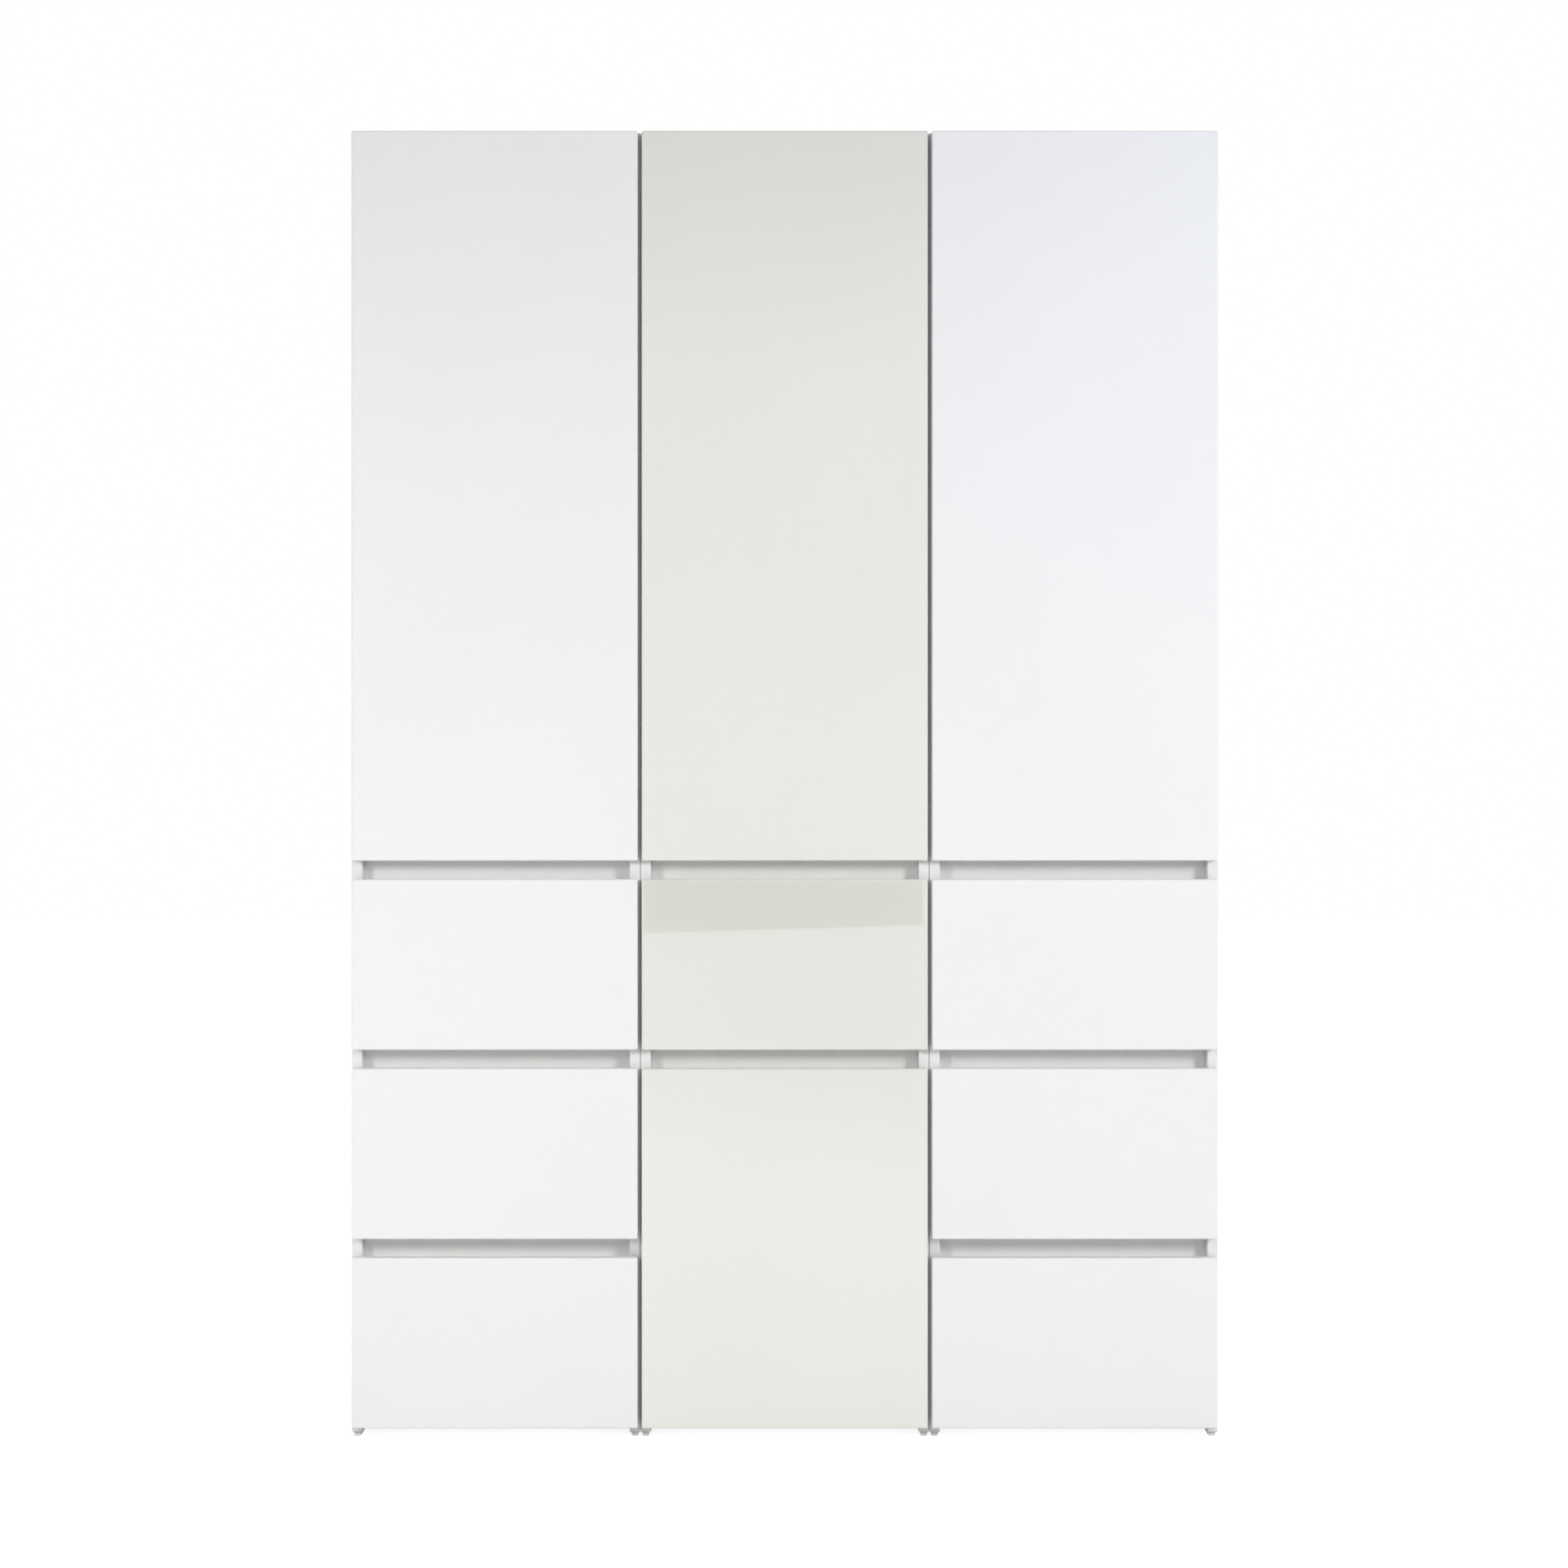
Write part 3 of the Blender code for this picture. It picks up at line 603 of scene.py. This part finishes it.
def dress_box(module, drawer):
    """A drawer box: foil walls, a printed bottom, runner tracks and rear rollers."""
    name = f"{module}_{drawer}_drawer_box"
    middle = module_middle(module)
    low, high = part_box(name)
    axle = (high.y - ROLLER_INSET, runner_bottom(module, drawer) + MOVING_AXLE_HEIGHT)

    def choose(centre, normal):
        outside = abs(centre.x - middle) - BOX_HALF
        if outside > SAME_PLANE:
            is_roller = outside > 2 * TRACK_STEEL and near_axle(centre, axle)
            return "nylon" if is_roller else "runner_steel"
        inside_walls = outside < -BOX_WALL - SAME_PLANE
        is_sheet = low.z + SAME_PLANE < centre.z < high.z - SAME_PLANE
        if abs(normal.z) > SQUARELY and inside_walls and is_sheet:
            return "drawer_bottom"
        return "linen_foil"

    dress(name, choose)


def dress_closet():
    """Gives every CAD node its finishes."""
    for module in MODULES:
        lacquer = "cream_lacquer" if module == "centre" else "white_lacquer"
        for side in SIDES:
            dress_side(module, side)
        for board in ("floor", "divider", "top", *(f"{shelf}_shelf" for shelf in SHELVES[module])):
            dress(f"{module}_{board}", board_finish)
        dress(f"{module}_back", back_finish)
        dress_door(module, lacquer)
        for hinge in HINGES:
            dress(f"{module}_hinge_arm_{hinge}", hinge_finish)
        for drawer in DRAWERS[module]:
            dress(f"{module}_{drawer}_grip", grip_finish)
            dress(f"{module}_{drawer}_drawer_front", front_finish(lacquer))
            dress_box(module, drawer)
        if module != "centre":
            rail = f"{module}_clothes_rail"
            dress(rail, rail_finish(rail))


# Profiles of turned pieces, as shares of their radius and height, from the foot's middle to the top's
PAN_PROFILE = ((0, 0), (1, 0), (1, 0.30), (0.90, 0.62), (0.66, 0.88), (0.34, 0.98), (0, 1))
DOME_PROFILE = ((0, 0), (1, 0), (1, 0.35), (0.93, 0.68), (0.76, 0.90), (0.40, 0.98), (0, 1))
DISH_PROFILE = ((0, 0), (1, 0), (1, 0.5), (0.94, 1), (0.80, 1), (0.72, 0.70), (0, 0.62))

# A screw's cross recess: its length and width as shares of the radius, its depth as one of the height
CROSS_LENGTH = 1.15
CROSS_WIDTH = 0.26
CROSS_DEPTH = 0.55

# A hole's floor and the foot of its rim's bevel as shares of the height, the bevel as one of the rim
HOLE_FLOOR = 0.15
BEVEL_FOOT = 0.6
BEVEL_WIDTH = 0.3

# The turn from one screw of a row to the next, so that their crosses don't all stand alike
SCREW_TURN = math.pi * (3 - math.sqrt(5))


def ring(shape, radius, height, sides):
    """A ring of points about Z, or one point where the radius is zero."""
    if radius == 0:
        return [shape.verts.new((0, 0, height))]
    turns = [math.tau * index / sides for index in range(sides)]
    return [shape.verts.new((radius * math.cos(turn), radius * math.sin(turn), height)) for turn in turns]


def turned(profile, sides):
    """A solid turned about Z from (radius, height) points, the first and last of them on the axis."""
    shape = bmesh.new()
    rings = [ring(shape, radius, height, sides) for radius, height in profile]
    for low, high in zip(rings, rings[1:]):
        for index in range(max(len(low), len(high))):
            corners = [low[index % len(low)], low[(index + 1) % len(low)],
                       high[(index + 1) % len(high)], high[index % len(high)]]
            shape.faces.new(dict.fromkeys(corners))
    bmesh.ops.recalc_face_normals(shape, faces=shape.faces)
    return shape


def to_mesh(name, shape, *finishes):
    """Turns a shape into a mesh with its finishes."""
    mesh = bpy.data.meshes.new(name)
    shape.to_mesh(mesh)
    shape.free()
    for finish in finishes:
        mesh.materials.append(FINISHES[finish])
    return mesh


def with_cross(mesh, top, length, width, depth):
    """Cuts a cross recess into the top of a turned head."""
    head = bpy.data.objects.new("head", mesh)
    shape = bmesh.new()
    for size in ((length, width), (width, length)):
        place = Matrix.Translation((0, 0, top)) @ Matrix.Diagonal((*size, 2 * depth, 1.0))
        bmesh.ops.create_cube(shape, size=1.0, matrix=place)
    cutter = bpy.data.objects.new("cross", to_mesh("cross", shape))
    for helper in (head, cutter):
        bpy.context.scene.collection.objects.link(helper)
    cut = head.modifiers.new("Cross", "BOOLEAN")
    cut.operation = "DIFFERENCE"
    cut.use_self = True
    cut.object = cutter
    evaluated = head.evaluated_get(bpy.context.evaluated_depsgraph_get())
    result = bpy.data.meshes.new_from_object(evaluated)
    for helper in (head, cutter):
        bpy.data.objects.remove(helper)
    return result


def round_piece(name, shares, radius, height, finish, sides=20):
    """A turned piece on the plane z = 0, from a profile in shares of its radius and height."""
    profile = [(across * radius, up * height) for across, up in shares]
    return to_mesh(name, turned(profile, sides), finish)


def pan_head(name, radius, height, finish="zinc", sides=20):
    """A domed screw head with a cross recess, on the plane z = 0."""
    mesh = round_piece(name, PAN_PROFILE, radius, height, finish, sides)
    return with_cross(mesh, height, CROSS_LENGTH * radius, CROSS_WIDTH * radius, CROSS_DEPTH * height)


def hole_rim(name, radius, rim, height, sides):
    """A drilled hole with its rim, as a shallow round floor inside a thin ring, the floor painted dark as
    the shade deep in the hole.
    """
    floor = HOLE_FLOOR * height
    outer = radius + rim
    profile = [(0, 0), (outer, 0), (outer, BEVEL_FOOT * height), (outer - BEVEL_WIDTH * rim, height),
               (radius, height), (radius, floor), (0, floor)]
    mesh = to_mesh(name, turned(profile, sides), "white_melamine", "painted_hole_shade")
    # The hole's floor gets the painted shade of a deep hole, and the ring keeps the white melamine
    for face in mesh.polygons:
        in_painted_hole_shade = face.normal.z > SQUARELY and math.hypot(face.center.x, face.center.y) < radius
        face.material_index = int(in_painted_hole_shade)
    return mesh


PLATE_SCREW = pan_head("plate_screw", radius=0.0036, height=0.0018)
ADJUSTER = pan_head("adjuster", radius=0.0027, height=0.0008)
CUP_SCREW = pan_head("cup_screw", radius=0.0034, height=0.0009)
RUNNER_SCREW = pan_head("runner_screw", radius=0.0034, height=0.0015)
TRACK_SCREW = pan_head("track_screw", radius=0.0030, height=0.0011)
FRONT_SCREW = pan_head("front_screw", radius=0.0045, height=0.0024)
BACK_SCREW = pan_head("back_screw", radius=0.0035, height=0.0018)
BOLT = pan_head("bolt", radius=0.0070, height=0.0022, finish="nickel", sides=28)
BUMPER = round_piece("bumper", DOME_PROFILE, radius=0.0040, height=0.0020, finish="silicone")
COVER = round_piece("cover", DISH_PROFILE, radius=0.0085, height=0.0014, finish="white_plastic", sides=24)
HOLE = hole_rim("hole", radius=PIN_RADIUS, rim=0.0007, height=0.00035, sides=14)


def facing(point, direction, turn=0.0):
    """The place of a template at a point, with its Z axis along a direction."""
    tilt = Vector((0, 0, 1)).rotation_difference(Vector(direction)).to_matrix().to_4x4()
    return Matrix.Translation(Vector(point)) @ tilt @ Matrix.Rotation(turn, 4, "Z")


def screws(points, direction):
    """Places for screws at points, each turned a little further."""
    return [facing(point, direction, SCREW_TURN * index) for index, point in enumerate(points)]


def both_ways(reach):
    """The same distance to one side and to the other."""
    return (-reach, reach)


def add_group(name, template, places, body):
    """One piece that repeats a template mesh at each place, and rides on a body."""
    shape = bmesh.new()
    for place in places:
        known = len(shape.verts)
        shape.from_mesh(template)
        shape.verts.ensure_lookup_table()
        bmesh.ops.transform(shape, matrix=place, verts=shape.verts[known:])
    mesh = to_mesh(name, shape)
    for material in template.materials:
        mesh.materials.append(material)
    mesh.shade_smooth()
    mesh.set_sharp_from_angle(angle=SHARP_ANGLE)
    piece = bpy.data.objects.new(name, mesh)
    bpy.context.scene.collection.objects.link(piece)
    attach(piece, body)


def add_hinge_screws(module):
    """The screws of a door's hinges: in the plate's wings, in the arm and in the cup's wings."""
    side = HINGE_SIDES[module]
    wall = inner_face(module, side)
    inward = (-side, 0, 0)
    y = Y_CARCASS + PLATE_MIDDLE
    heights = [hinge_height(module, hinge) for hinge in HINGES]
    wing_points = [(wall - side * WING_THICKNESS, y, z + reach)
                   for z in heights for reach in both_ways(WING_SCREW_REACH)]
    adjuster_points = [(wall - side * ADJUSTER_HEIGHT, y + reach, z)
                       for z in heights for reach in both_ways(ADJUSTER_REACH)]
    cup_points = [(x, Y_FRONT_BACK + CUP_PLATE, z + reach)
                  for x, z in cup_places(module) for reach in both_ways(CUP_SCREW_REACH)]
    add_group(f"{module}_hinge_plate_screws", PLATE_SCREW, screws(wing_points, inward),
              "carcass")
    add_group(f"{module}_hinge_adjusters", ADJUSTER, screws(adjuster_points, inward),
              "carcass")
    add_group(f"{module}_hinge_cup_screws", CUP_SCREW, screws(cup_points, TO_BACK),
              f"{module}_door")


def add_runner_screws(module):
    """The screws that hold the runner channels to the sides and the tracks to the drawer boxes."""
    middle = module_middle(module)
    places = []
    for drawer in DRAWERS[module]:
        bottom = runner_bottom(module, drawer)
        track_places = []
        for side in SIDES:
            channel_x = inner_face(module, side) - side * CHANNEL_STEEL
            points = [(channel_x, Y_CARCASS + y, bottom + RUNNER_SCREW_HEIGHT) for y in RUNNER_SCREW_PLACES]
            places += screws(points, (-side, 0, 0))
            track_x = middle + side * (BOX_HALF + TRACK_STEEL)
            points = [(track_x, Y_CARCASS + y, bottom + TRACK_SCREW_HEIGHT) for y in TRACK_SCREW_PLACES]
            track_places += screws(points, (side, 0, 0))
        add_group(f"{module}_{drawer}_track_screws", TRACK_SCREW, track_places,
                  f"{module}_{drawer}_drawer")
    add_group(f"{module}_runner_screws", RUNNER_SCREW, places, "carcass")


def add_front_screws(module, drawer):
    """The screws that hold a drawer's front, seen inside its box."""
    low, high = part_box(f"{module}_{drawer}_drawer_box")
    middle = module_middle(module)
    heights = [low.z + level * (high.z - low.z) for level in FRONT_SCREW_LEVELS]
    points = [(middle + x, low.y + BOX_WALL, z) for x in both_ways(FRONT_SCREW_SPREAD) for z in heights]
    add_group(f"{module}_{drawer}_front_screws", FRONT_SCREW, screws(points, TO_BACK),
              f"{module}_{drawer}_drawer")


def add_bumpers(module):
    """Soft pads on the inner faces of the fronts, which meet the front edges of the carcass."""
    low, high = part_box(f"{module}_door")
    free_x = low.x + BUMPER_FROM_SIDE if HINGE_SIDES[module] > 0 else high.x - BUMPER_FROM_SIDE
    heights = (low.z + BUMPER_FROM_DOOR_END, high.z - BUMPER_FROM_DOOR_END)
    places = [facing((free_x, Y_FRONT_BACK, z), TO_BACK) for z in heights]
    add_group(f"{module}_door_bumpers", BUMPER, places, f"{module}_door")
    for drawer in DRAWERS[module]:
        low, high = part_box(f"{module}_{drawer}_drawer_front")
        places = [facing((x, Y_FRONT_BACK, high.z - BUMPER_FROM_DRAWER_TOP), TO_BACK)
                  for x in (low.x + BUMPER_FROM_SIDE, high.x - BUMPER_FROM_SIDE)]
        add_group(f"{module}_{drawer}_bumpers", BUMPER, places, f"{module}_{drawer}_drawer")


def add_shelf_holes(module):
    """Rows of holes above and below each shelf pin, in both sides of a module."""
    steps = [step for step in range(-HOLES_PER_SIDE_OF_PIN, HOLES_PER_SIDE_OF_PIN + 1) if step != 0]
    places = []
    for shelf in SHELVES[module]:
        low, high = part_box(f"{module}_{shelf}_shelf")
        pin_z = low.z - SEAT - PIN_RADIUS
        columns = (Y_CARCASS + PIN_FROM_CARCASS_FRONT, high.y + SEAT - PIN_FROM_SHELF_REAR)
        for side in SIDES:
            for y in columns:
                for step in steps:
                    point = (inner_face(module, side), y, pin_z + step * HOLE_PITCH)
                    places.append(facing(point, (-side, 0, 0)))
    add_group(f"{module}_shelf_holes", HOLE, places, "carcass")


def add_connector_bolts(module):
    """The flat bolt heads that hold neighbouring modules together."""
    columns = (Y_CARCASS + BOLT_FROM_FRONT, Y_REAR - BOLT_FROM_REAR)
    places = []
    for side in JOINED_SIDES[module]:
        points = [(inner_face(module, side), y, z) for z in BOLT_HEIGHTS for y in columns]
        places += screws(points, (-side, 0, 0))
    add_group(f"{module}_connector_bolts", BOLT, places, "carcass")


def add_cover_caps(module):
    """The caps over the fittings in the underside of a module's top board."""
    low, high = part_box(f"{module}_top")
    inset_x, inset_y = COVER_INSETS
    places = [facing((x, y, low.z), DOWN)
              for x in (low.x + inset_x, high.x - inset_x)
              for y in (low.y + inset_y, high.y - inset_y)]
    add_group(f"{module}_cover_caps", COVER, places, "carcass")


def add_back_screws(module):
    """The screws through a thin back into the boards that it closes."""
    middle = module_middle(module)
    points = []
    for board in ("floor", "divider", "top"):
        low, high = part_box(f"{module}_{board}")
        height = (low.z + high.z) / 2
        points += [(middle + x, BACK_HIGH.y, height) for x in (-BACK_SCREW_SPREAD, 0, BACK_SCREW_SPREAD)]
    add_group(f"{module}_back_screws", BACK_SCREW, screws(points, TO_BACK), "carcass")


def add_hardware():
    """All the small hardware of the closet."""
    for module in MODULES:
        add_hinge_screws(module)
        add_runner_screws(module)
        for drawer in DRAWERS[module]:
            add_front_screws(module, drawer)
        add_bumpers(module)
        add_shelf_holes(module)
        add_connector_bolts(module)
        add_cover_caps(module)
        add_back_screws(module)


def calculate(tree, operation, first, second):
    """A node that calculates with two links or values."""
    node = tree.nodes.new("ShaderNodeMath")
    node.operation = operation
    feed_in_order(tree, node, first, second)
    return node.outputs["Value"]


def seen_directly(tree, in_gloss=1.0):
    """1 for rays from the camera or through glass, a share for rays off a gloss, and 0 for lighting rays."""
    path = add_node(tree, "ShaderNodeLightPath")
    clear = calculate(tree, "MAXIMUM", path.outputs["Is Camera Ray"], path.outputs["Is Transmission Ray"])
    mirrored = calculate(tree, "MULTIPLY", path.outputs["Is Glossy Ray"], in_gloss)
    return calculate(tree, "MAXIMUM", clear, mirrored)


def ceiling_shade(tree):
    """1 for all that is seen directly, and less for a gloss that shows the room above the closet."""
    way = add_node(tree, "ShaderNodeTexCoord").outputs["Generated"]
    rise = add_node(tree, "ShaderNodeSeparateXYZ", Vector=way).outputs["Z"]
    start, end = CEILING_RISE
    darkening = add_node(tree, "ShaderNodeMapRange", Value=rise, From_Min=start, From_Max=end,
                         To_Min=0.0, To_Max=1.0 - CEILING_IN_GLOSS).outputs["Result"]
    in_gloss = add_node(tree, "ShaderNodeLightPath").outputs["Is Glossy Ray"]
    return calculate(tree, "SUBTRACT", 1.0, calculate(tree, "MULTIPLY", darkening, in_gloss))


def make_world():
    """A white background, and a weaker even light on the closet."""
    world = bpy.data.worlds.new("studio")
    bpy.context.scene.world = world
    world.use_nodes = True
    tree = world.node_tree
    tree.nodes.clear()
    shown = add_node(tree, "ShaderNodeBackground", Color=WHITE, Strength=ceiling_shade(tree))
    light = add_node(tree, "ShaderNodeBackground", Color=WHITE, Strength=AMBIENT)
    mix = tree.nodes.new("ShaderNodeMixShader")
    feed_in_order(tree, mix, seen_directly(tree), light.outputs["Background"], shown.outputs["Background"])
    add_node(tree, "ShaderNodeOutputWorld", Surface=mix.outputs["Shader"])


def stage_sheet(name, corners, material_name):
    """A sheet of the stage through its corners, and the node tree of its material, still empty."""
    mesh = bpy.data.meshes.new(name)
    mesh.from_pydata(corners, [], [range(len(corners))])
    sheet = bpy.data.objects.new(name, mesh)
    bpy.context.scene.collection.objects.link(sheet)
    material = bpy.data.materials.new(material_name)
    material.use_nodes = True
    material.node_tree.nodes.clear()
    mesh.materials.append(material)
    return sheet, material.node_tree


def make_floor():
    """A pale floor that shows white, with the closet's shadow still faintly on it."""
    half = FLOOR_HALF_SIZE
    corners = [(-half, -half, 0), (half, -half, 0), (half, half, 0), (-half, half, 0)]
    _, tree = stage_sheet("floor", corners, "pale_floor")
    grey = (FLOOR_REFLECTANCE, FLOOR_REFLECTANCE, FLOOR_REFLECTANCE, OPAQUE)
    lit = add_node(tree, "ShaderNodeBsdfDiffuse", Color=grey)
    strength = calculate(tree, "MULTIPLY", seen_directly(tree, FLOOR_IN_GLOSS), FLOOR_GLOW)
    glow = add_node(tree, "ShaderNodeEmission", Color=WHITE, Strength=strength)
    both = tree.nodes.new("ShaderNodeAddShader")
    feed_in_order(tree, both, lit.outputs["BSDF"], glow.outputs["Emission"])
    add_node(tree, "ShaderNodeOutputMaterial", Surface=both.outputs["Shader"])


def make_reflected_card():
    """A card in the room that only shows as a reflection in the gloss of the fronts."""
    y = Y_FRONT - VIEW_DISTANCE
    half = CARD_HALF_WIDTH
    corners = [(-half, y, CARD_LOWER_LEFT), (half, y, CARD_LOWER_RIGHT),
               (half, y, CARD_TOP), (-half, y, CARD_TOP)]
    card, tree = stage_sheet("reflected_card", corners, "card")
    paint = add_node(tree, "ShaderNodeEmission", Color=CARD_COLOUR, Strength=1.0)
    add_node(tree, "ShaderNodeOutputMaterial", Surface=paint.outputs["Emission"])
    card.visible_camera = False
    card.visible_diffuse = False
    card.visible_shadow = False
    card.visible_transmission = False


def add_softbox(name, place, target, size, power, beam, colour=NEUTRAL):
    """A soft lamp at a place, turned to a target, whose grid keeps its light within a beam."""
    lamp = bpy.data.lights.new(name, "AREA")
    lamp.shape = "RECTANGLE"
    lamp.size, lamp.size_y = size
    lamp.energy = power
    lamp.color = colour
    lamp.spread = math.radians(beam)
    box = bpy.data.objects.new(name, lamp)
    box.location = place
    box.rotation_euler = (Vector(target) - Vector(place)).to_track_quat("-Z", "Y").to_euler()
    box.visible_camera = False
    box.visible_glossy = False
    bpy.context.scene.collection.objects.link(box)


def make_studio():
    """Floor, background, lamps and the card that the middle drawer mirrors."""
    make_world()
    make_floor()
    add_softbox("key", place=(3.2, Y_FRONT - 2.88, 2.10), target=(-1.0, Y_FRONT, 0.5), size=(1.0, 1.0),
                power=41.2, beam=126)
    add_softbox("fill", place=(-2.6, Y_FRONT - 2.66, 1.89), target=(0.1, Y_FRONT, -3.0), size=(0.7, 0.9),
                power=45.6, beam=171)
    add_softbox("window", place=(1.5, Y_FRONT - 1.2, 2.4), target=(0.55, Y_FRONT, 2.1), size=(0.6, 0.6),
                power=0.8, beam=100, colour=SKY)
    add_softbox("back", place=(0.6, 2.4, 3.6), target=(0.0, Y_REAR, 1.5), size=(1.6, 1.0),
                power=55, beam=180)
    make_reflected_card()


def make_camera():
    """The camera straight in front of the closet, level with its middle."""
    camera = bpy.data.cameras.new("camera")
    camera.sensor_width = SENSOR_WIDTH
    camera.lens = SENSOR_WIDTH * VIEW_DISTANCE / VIEW_WIDTH
    view = bpy.data.objects.new("camera", camera)
    view.location = (VIEW_CENTRE[0], Y_FRONT - VIEW_DISTANCE, VIEW_CENTRE[1])
    view.rotation_euler = (math.pi / 2, 0, 0)
    bpy.context.scene.collection.objects.link(view)
    bpy.context.scene.camera = view


dress_closet()
add_hardware()
make_studio()
make_camera()
bpy.context.scene.view_settings.view_transform = "Standard"
